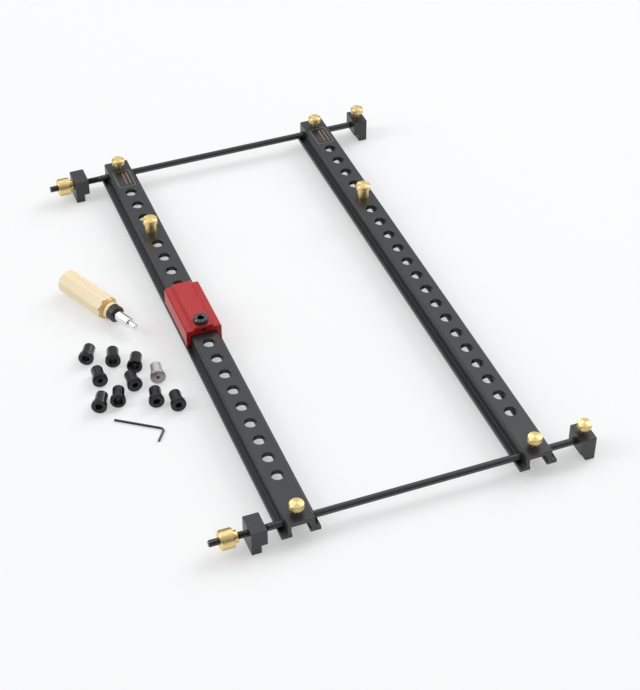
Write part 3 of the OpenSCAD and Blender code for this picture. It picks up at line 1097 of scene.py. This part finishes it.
class JIG_OT_fences(bpy.types.Operator):
    """Build the four edge fences"""

    bl_idname = "jig.fences"
    bl_label = "Edge fences"

    def execute(self, context):
        settings = context.scene.drilling_jig
        sizes = settings.fences
        for node in FENCES:
            low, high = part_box(node)
            depth = (high.y - low.y) / 2
            mesh = extruded(self.section(sizes, node), -depth, depth, sizes.chamfer)
            spot = at(middle(node).x, middle(node).y, 0)
            dress(node, cut(mesh, *self.drills(settings, node)), "black_anodised", spot)
        return {"FINISHED"}

    def section(self, sizes, node):
        """Outline of the block, with its tongue on the jig's outer side."""
        low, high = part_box(node)
        half = (high.x - low.x) / 2
        side = 1 if "right" in node else -1
        step = half - sizes.tongue_width
        corners = [
            (side * half, 0),
            (side * half, low.z),
            (side * step, low.z),
            (side * step, -sizes.body_height),
            (-side * half, -sizes.body_height),
            (-side * half, 0),
        ]
        return rounded([(*corner, sizes.arris) for corner in corners])

    def drills(self, settings, node):
        """Drills for the rod and, in a right fence, for the screw that locks it."""
        low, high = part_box(node)
        width = high.x - low.x
        rod = rod_by(node)
        bore = drill(standing_radius(rod) + RUNNING_GAP, width, -width)
        drills = [moved(bore, at(0, 0, middle(rod).z) @ ALONG_X)]
        if "right" in node:
            shank = settings.brass.shank_diameter / 2 + RUNNING_GAP
            drills.append(drill(shank, 0, middle(rod).z, settings.rails.hole_chamfer))
        return drills


class JIG_OT_clamp_nuts(bpy.types.Operator):
    """Build the knurled clamp nuts on the rods' threads"""

    bl_idname = "jig.clamp_nuts"
    bl_label = "Clamp nuts"

    def execute(self, context):
        sizes = context.scene.drilling_jig.brass
        for node in CLAMP_NUTS:
            low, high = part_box(node)
            radius = standing_radius(node)
            bore = standing_radius(rod_by(node)) + RUNNING_GAP
            whole = high.x - low.x
            body = whole - sizes.collar_length
            collar = sizes.collar_diameter / 2
            edge = sizes.chamfer
            lead = 0.5 * MM
            root = 0.5 * MM
            band_low = edge
            band_high = body - edge
            segments, relief = knurl(sizes, radius, band_low, band_high)
            outline = [(bore, lead), (bore + lead, 0), (radius - edge, 0)]
            outline += rows(radius, band_low, band_high, sizes.knurl_pitch / STEPS_PER_RIDGE)
            outline += rounded(
                [
                    (radius - edge, body, 0),
                    (collar, body, root),
                    (collar, whole - lead, FINE_EDGE),
                    (collar - lead, whole, FINE_EDGE),
                    (bore + lead, whole, 0),
                    (bore, whole - lead, 0),
                ]
            )
            spot = at(low.x, middle(node).y, middle(node).z) @ ALONG_X
            dress(node, turned(outline, segments, relief), "brass", spot)
        return {"FINISHED"}


def knurled_head(sizes, radius, low, high):
    """Outline, segments and relief of a knurled head with a slightly crowned top."""
    edge = sizes.chamfer
    band_high = high - sizes.crown - edge
    segments, relief = knurl(sizes, radius, low + edge, band_high)
    rim = radius - edge
    outline = [(rim, low)]
    outline += rows(radius, low + edge, band_high, sizes.knurl_pitch / STEPS_PER_RIDGE)
    for step in range(CROWN_STEPS + 1):
        out = 1 - step / CROWN_STEPS
        outline.append((rim * out, high - sizes.crown * out * out))
    return outline, segments, relief


class JIG_OT_thumbscrews(bpy.types.Operator):
    """Build the thumbscrews that lock the rails and the right fences"""

    bl_idname = "jig.thumbscrews"
    bl_label = "Thumbscrews"

    def execute(self, context):
        sizes = context.scene.drilling_jig.brass
        for node in THUMBSCREWS:
            low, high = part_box(node)
            radius = (high.x - low.x) / 2
            under = high.z - sizes.head_thickness
            shank = sizes.shank_diameter / 2
            tip = 0.5 * MM
            root = 0.6 * MM
            head, segments, relief = knurled_head(sizes, radius, under, high.z)
            neck = rounded(
                [
                    (0, low.z, 0),
                    (shank - tip, low.z, 0),
                    (shank, low.z + tip, 0),
                    (shank, under, root),
                    (radius - sizes.chamfer, under, 0),
                ]
            )
            spot = at(middle(node).x, middle(node).y, 0)
            dress(node, turned(neck[:-1] + head, segments, relief), "brass", spot)
        return {"FINISHED"}


class JIG_OT_index_pins(bpy.types.Operator):
    """Build the index pins that stand in the rails' holes"""

    bl_idname = "jig.index_pins"
    bl_label = "Index pins"

    def execute(self, context):
        sizes = context.scene.drilling_jig.brass
        body = MOUNTS["left_index_hole_1"]["dims"]["r_mm"] * MM - RUNNING_GAP
        tip = sizes.tip_diameter / 2
        edge = sizes.chamfer
        tip_root = 0.3 * MM
        head_root = 0.4 * MM
        for node in INDEX_PINS:
            low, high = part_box(node)
            radius = (high.x - low.x) / 2
            under = high.z - sizes.head_thickness
            shoulder = low.z + sizes.tip_length
            head, segments, relief = knurled_head(sizes, radius, under, high.z)
            stem = rounded(
                [
                    (0, low.z, 0),
                    (tip - edge, low.z, SOFT_EDGE),
                    (tip, low.z + edge, SOFT_EDGE),
                    (tip, shoulder, tip_root),
                    (body - edge, shoulder, SOFT_EDGE),
                    (body, shoulder + edge, SOFT_EDGE),
                    (body, under, head_root),
                    (radius - edge, under, 0),
                ]
            )
            spot = at(middle(node).x, middle(node).y, 0)
            dress(node, turned(stem[:-1] + head, segments, relief), "brass", spot)
        return {"FINISHED"}


class JIG_OT_carriage(bpy.types.Operator):
    """Build the drill carriage and its set screw"""

    bl_idname = "jig.carriage"
    bl_label = "Drill carriage"

    def execute(self, context):
        settings = context.scene.drilling_jig
        sizes = settings.carriage
        low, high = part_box("drill_carriage")
        mesh = extruded(self.section(sizes), low.y, high.y, sizes.chamfer)
        bushing = middle("fitted_bushing")
        barrel = settings.bushings.barrel_diameter / 2 + RUNNING_GAP
        hole = drill(barrel, high.z, -OVERCUT, sizes.chamfer)
        hole = moved(hole, at(0, bushing.y, 0))
        screw_low, screw_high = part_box("carriage_set_screw")
        screw = (screw_high.x - screw_low.x) / 2
        facing_front = at(0, screw_low.y, middle("carriage_set_screw").z) @ TOWARDS_FRONT
        screw_hole = drill(screw + RUNNING_GAP, 0, screw_low.y - bushing.y, SOFT_EDGE)
        screw_hole = moved(screw_hole, facing_front)
        spot = at(middle("drill_carriage").x, 0, 0)
        dress("drill_carriage", cut(mesh, hole, screw_hole), "red_anodised", spot)
        self.set_screw(settings, screw, screw_high.y - screw_low.y, spot @ facing_front)
        return {"FINISHED"}

    def section(self, sizes):
        """Outline of the carriage, with its raised pad and its two legs."""
        low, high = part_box("drill_carriage")
        half = (high.x - low.x) / 2
        inside = sizes.inside_width / 2
        pad = sizes.pad_width / 2
        corners = [
            (pad, high.z, sizes.arris),
            (pad + sizes.pad_slope, sizes.shoulder, sizes.arris),
            (half, sizes.shoulder, sizes.edge),
            (half, low.z, sizes.arris),
            (inside, low.z, sizes.arris),
            (inside, 0, sizes.arris),
        ]
        return rounded(mirrored(corners))

    def set_screw(self, settings, radius, depth, spot):
        """The set screw, with its hex socket facing out."""
        chamfer = 0.35 * MM
        outline = [
            (0, -depth),
            (radius - chamfer, -depth),
            (radius, chamfer - depth),
            (radius, -chamfer),
            (radius - chamfer, 0),
            (0, 0),
        ]
        reach = corner_reach(HEXAGON, settings.hand_tools.key_size + 2 * RUNNING_GAP)
        socket = drill(reach, 0, -settings.carriage.socket_depth, segments=HEXAGON)
        mesh = cut(turned(outline, ROD_SEGMENTS), socket)
        dress("carriage_set_screw", mesh, "black_oxide", spot)


class JIG_OT_bushings(bpy.types.Operator):
    """Build the flanged bushings and the bright punch guide"""

    bl_idname = "jig.bushings"
    bl_label = "Bushings"

    def execute(self, context):
        sizes = context.scene.drilling_jig.bushings
        whole = sizes.flange_thickness + sizes.barrel_length
        for node in ("fitted_bushing", "punch_guide", *LOOSE_BUSHINGS):
            bore = MOUNTS[f"{node}_bore"]
            axis = Vector(bore["axis"])
            face = Vector(bore["pos_m"]) + axis * (whole + sizes.chamfer) / 2
            turn = axis.to_track_quat("Z", "Y").to_matrix().to_4x4()
            bright = node == "punch_guide"
            slot = "bright_steel" if bright else "black_oxide"
            finish = finish_for("grey_steel" if bright else "oxide_with_shaded_ends")
            mesh = turned(self.section(sizes, bore["dims"]["r_mm"] * MM), BUSHING_SEGMENTS)
            # Only the loose bushings and the guide get painted shade on their ends; the fitted bushing
            # keeps one tone all over
            if node != "fitted_bushing":
                mesh = with_ends(mesh)
            dress(node, moved(mesh, turn), slot, at(*face), finish)
        return {"FINISHED"}

    def section(self, sizes, bore):
        """Outline of a bushing, with its flange's face at height 0."""
        end = -sizes.flange_thickness - sizes.barrel_length
        flange = sizes.flange_diameter / 2
        barrel = sizes.barrel_diameter / 2
        seat = RUNNING_GAP - sizes.flange_thickness
        lead = sizes.chamfer
        soft = 0.15 * MM
        return rounded(
            [
                (bore, end + sizes.end_chamfer, 0),
                (bore + sizes.end_chamfer, end, 0),
                (barrel - sizes.end_chamfer, end, soft),
                (barrel, end + sizes.end_chamfer, soft),
                (barrel, seat, soft),
                (flange, seat, 2 * soft),
                (flange, -lead, soft),
                (flange - lead, 0, soft),
                (bore + lead, 0, soft),
                (bore, -lead, soft),
            ]
        )


class JIG_OT_setting_tool(bpy.types.Operator):
    """Build the setting tool with its wooden handle, collar and stepped shank"""

    bl_idname = "jig.setting_tool"
    bl_label = "Setting tool"

    def execute(self, context):
        sizes = context.scene.drilling_jig.hand_tools
        heading = Vector((math.sin(sizes.tool_heading), math.cos(sizes.tool_heading), 0))
        butt = middle("tool_collar") - heading * (sizes.handle_length + sizes.collar_length / 2)
        spot = at(*butt) @ heading.to_track_quat("Z", "Y").to_matrix().to_4x4()
        self.handle(sizes, spot)
        self.collar(sizes, spot)
        self.shank(sizes, spot)
        return {"FINISHED"}

    def handle(self, sizes, spot):
        """The octagonal handle with its turned butt, cone and neck."""
        octagon = polygon(OCTAGON, sizes.handle_width, sizes.corner, first=0.5)
        stock = moved(extruded(octagon, 0, sizes.handle_length, 0), UPRIGHT)
        turning = turned(self.turning_outline(sizes), HANDLE_SEGMENTS)
        tang = sizes.handle_length - sizes.tang_length
        socket = drill(sizes.shank_diameter / 2 + RUNNING_GAP, sizes.handle_length, tang)
        mesh = cut(combined(stock, "INTERSECT", turning), socket)
        dress("tool_handle", mesh, "pale_wood", spot, sharp=HANDLE_SHARP_ANGLE)

    def turning_outline(self, sizes):
        """Outline to which the octagonal stock is turned down."""
        corner = corner_reach(OCTAGON, sizes.handle_width)
        cone = sizes.cone_diameter / 2
        neck = sizes.neck_diameter / 2
        cone_end = sizes.cone_start + sizes.cone_length
        run = sizes.cone_length / (corner - cone)
        wide = corner + OVERCUT
        soft = 0.5 * MM
        return rounded(
            [
                (0, 0, 0),
                (corner - sizes.butt_chamfer, 0, soft),
                (wide, sizes.butt_chamfer + OVERCUT, 0),
                (wide, sizes.cone_start - OVERCUT * run, 0),
                (cone, cone_end, 2 * soft),
                (neck, cone_end + cone - neck, soft),
                (neck, sizes.handle_length, soft / 2),
                (0, sizes.handle_length, 0),
            ]
        )

    def collar(self, sizes, spot):
        """The black collar between handle and shank."""
        radius = sizes.collar_diameter / 2
        bore = sizes.shank_diameter / 2 + RUNNING_GAP
        start = sizes.handle_length
        end = start + sizes.collar_length
        chamfer = sizes.metal_chamfer
        outline = rounded(
            [
                (bore, start, 0),
                (radius - chamfer, start, 0),
                (radius, start + chamfer, SOFT_EDGE),
                (radius, end - chamfer, SOFT_EDGE),
                (radius - chamfer, end, SOFT_EDGE),
                (bore + chamfer, end, FINE_EDGE),
                (bore, end - chamfer, FINE_EDGE),
            ]
        )
        mesh = turned(outline, TOOL_SEGMENTS)
        dress("tool_collar", mesh, "black_oxide", spot, finish_for("black_anodised"))

    def shank(self, sizes, spot):
        """The stepped steel shank."""
        radius = sizes.shank_diameter / 2
        tip = sizes.tip_diameter / 2
        start = sizes.handle_length - sizes.tang_length
        step = sizes.handle_length + sizes.collar_length + sizes.shank_length
        end = step + sizes.tip_length
        chamfer = sizes.metal_chamfer
        outline = rounded(
            [
                (0, start, 0),
                (radius, start, 0),
                (radius, step - chamfer, SOFT_EDGE),
                (radius - chamfer, step, SOFT_EDGE),
                (tip, step, SOFT_EDGE),
                (tip, end - chamfer, SOFT_EDGE),
                (tip - chamfer, end, SOFT_EDGE),
                (0, end, 0),
            ]
        )
        dress("tool_shank", turned(outline, TOOL_SEGMENTS), "bright_steel", spot)


class JIG_OT_hex_key(bpy.types.Operator):
    """Build the bent hex key"""

    bl_idname = "jig.hex_key"
    bl_label = "Hex key"

    def execute(self, context):
        sizes = context.scene.drilling_jig.hand_tools
        spot = at(*sizes.key_place, GROUND + sizes.key_size / 2)
        spot = spot @ Matrix.Rotation(-sizes.key_heading, 4, "Z")
        dress("hex_key", self.bent_bar(sizes), "black_oxide", spot)
        return {"FINISHED"}

    def bent_bar(self, sizes):
        """A hexagonal bar along the short arm, round the bend and along the long arm."""
        outline = polygon(HEXAGON, sizes.key_size, SOFT_EDGE)
        chamfer = 0.25 * MM
        small = inset(outline, chamfer / 2)
        bend = sizes.key_bend
        short = sizes.key_short - bend
        long = sizes.key_long - bend
        quarter = math.pi / 2
        stations = [(small, bend, -short, 0), (outline, bend, chamfer - short, 0)]
        for step in range(BEND_STEPS + 1):
            turn = quarter * step / BEND_STEPS
            stations.append((outline, bend * math.cos(turn), bend * math.sin(turn), turn))
        stations.append((outline, chamfer - long, bend, quarter))
        stations.append((small, -long, bend, quarter))
        shape = bmesh.new()
        loops = []
        for points, x, y, turn in stations:
            out = Vector((math.cos(turn), math.sin(turn), 0))
            core = Vector((x, y, 0))
            loops.append([shape.verts.new(core + across * out + up * UP) for across, up in points])
        return lofted(shape, loops)


class JIG_OT_stage(bpy.types.Operator):
    """Set up the pale floor, the studio light and the camera"""

    bl_idname = "jig.stage"
    bl_label = "Stage"

    def execute(self, context):
        scene = context.scene
        scene.view_settings.view_transform = "Standard"
        self.floor(scene)
        self.surroundings(scene)
        self.softbox(scene, "right_softbox", azimuth=68, elevation=35, width=3.8, height=3.8, power=215)
        self.softbox(scene, "left_softbox", azimuth=-78, elevation=36, width=2.1, height=4.2, power=130)
        self.camera(scene)
        return {"FINISHED"}

    def floor(self, scene):
        """A wide pale floor under the jig."""
        stage = scene.drilling_jig.stage
        shape = bmesh.new()
        bmesh.ops.create_grid(shape, x_segments=8, y_segments=8, size=stage.floor_reach)
        floor = bpy.data.objects.new("floor", mesh_of(shape))
        scene.collection.objects.link(floor)
        floor.location = (0, 0, GROUND)
        finish = Finish("pale_paper", {"Roughness": 0.75, "Specular IOR Level": 0.2})
        finish.mottle(400 * MM, scene.drilling_jig.colours.floor, darkest=0.995, lightest=1)
        self.lift_shadows(finish, stage)
        floor.data.materials.append(finish.material)

    def lift_shadows(self, finish, stage):
        """Let the eye and mirrors see the floor partly as a lit white sheet.

        The shadows on it stay pale that way.
        """
        path = finish.add("ShaderNodeLightPath")
        seen = path.outputs["Is Camera Ray"]
        for ray in ("Is Glossy Ray", "Is Transmission Ray"):
            seen = finish.maths("MAXIMUM", seen, path.outputs[ray])
        sheet = finish.add("ShaderNodeEmission", Strength=stage.sheet_level)
        blend = finish.add("ShaderNodeMixShader")
        finish.link(finish.maths("MULTIPLY", seen, stage.shadow_lift), blend.inputs["Fac"])
        finish.link(finish.shader.outputs["BSDF"], blend.inputs[1])
        finish.link(sheet.outputs["Emission"], blend.inputs[2])
        finish.link(blend.outputs["Shader"], finish.tree.nodes["Material Output"].inputs["Surface"])

    def surroundings(self, scene):
        """A studio that is brighter behind the jig and overhead than in front of it."""
        world = bpy.data.worlds.new("studio")
        world.use_nodes = True
        scene.world = world
        studio = Nodes(world.node_tree)
        towards = studio.directions("Generated")
        depth = studio.stretched(towards["Y"], STUDIO_DEPTH, STUDIO_SHARES)
        height = studio.ramp(towards["Z"], [(rise, [level] * 3) for rise, level in STUDIO_LEVELS])
        background = studio.tree.nodes["Background"]
        background.inputs["Color"].default_value = (*STUDIO_TONE, 1)
        studio.link(studio.maths("MULTIPLY", depth, height), background.inputs["Strength"])

    def softbox(self, scene, name, azimuth, elevation, width, height, power):
        """A rectangular lamp that looks at the jig's middle.

        Its azimuth is in degrees to the right of the back, and its elevation in degrees above the floor.
        """
        lamp = bpy.data.lights.new(name, "AREA")
        lamp.shape = "RECTANGLE"
        lamp.size = width
        lamp.size_y = height
        lamp.energy = power
        stand = bpy.data.objects.new(name, lamp)
        scene.collection.objects.link(stand)
        turn = math.radians(azimuth)
        rise = math.radians(elevation)
        away = Vector((math.sin(turn) * math.cos(rise), math.cos(turn) * math.cos(rise), math.sin(rise)))
        jig_middle = (Vector(CAD_BOX[0]) + Vector(CAD_BOX[1])) / 2
        stand.location = jig_middle + scene.drilling_jig.stage.softbox_distance * away
        stand.rotation_euler = away.to_track_quat("Z", "Y").to_euler()

    def camera(self, scene):
        """The camera at the photograph's viewing angle."""
        stage = scene.drilling_jig.stage
        lens = bpy.data.cameras.new("camera")
        lens.lens = stage.lens / MM
        lens.sensor_width = stage.sensor / MM
        lens.clip_start = stage.nearest
        stand = bpy.data.objects.new("camera", lens)
        scene.collection.objects.link(stand)
        stand.location = stage.camera_place
        stand.rotation_euler = (math.pi / 2 - stage.camera_tilt, 0, -stage.camera_heading)
        scene.camera = stand


OPERATORS = (
    JIG_OT_rails,
    JIG_OT_labels,
    JIG_OT_rods,
    JIG_OT_fences,
    JIG_OT_clamp_nuts,
    JIG_OT_thumbscrews,
    JIG_OT_index_pins,
    JIG_OT_carriage,
    JIG_OT_bushings,
    JIG_OT_setting_tool,
    JIG_OT_hex_key,
    JIG_OT_stage,
)
# Properties that every group has by itself
BUILT_IN = ("rna_type", "name")


class JIG_PT_pieces(bpy.types.Panel):
    """The jig's pieces in the order in which they are built"""

    bl_idname = "JIG_PT_pieces"
    bl_label = "Shelf pin drilling jig"
    bl_space_type = "VIEW_3D"
    bl_region_type = "UI"
    bl_category = "Drilling jig"

    def draw(self, context):
        for operator in OPERATORS:
            self.layout.operator(operator.bl_idname)
        settings = context.scene.drilling_jig
        for part in settings.bl_rna.properties:
            if part.identifier not in BUILT_IN and part.type == "POINTER":
                sizes = getattr(settings, part.identifier)
                box = self.layout.box()
                box.label(text=part.name)
                for size in sizes.bl_rna.properties:
                    if size.identifier not in BUILT_IN:
                        box.prop(sizes, size.identifier)


GROUPS = (
    RailSizes,
    RodSizes,
    FenceSizes,
    BrassSizes,
    CarriageSizes,
    BushingSizes,
    HandToolSizes,
    LabelSizes,
    Colours,
    StageSettings,
    JigSettings,
)
CLASSES = (*GROUPS, *OPERATORS, JIG_PT_pieces)


def register():
    """Register the settings, the operators and the panel."""
    for item in CLASSES:
        bpy.utils.register_class(item)
    bpy.types.Scene.drilling_jig = bpy.props.PointerProperty(type=JigSettings)


def unregister():
    """Undo register."""
    del bpy.types.Scene.drilling_jig
    for item in reversed(CLASSES):
        bpy.utils.unregister_class(item)


def main():
    """Build every piece and the stage."""
    register()
    for operator in OPERATORS:
        family, name = operator.bl_idname.split(".")
        getattr(getattr(bpy.ops, family), name)()


if __name__ == "__main__":
    main()
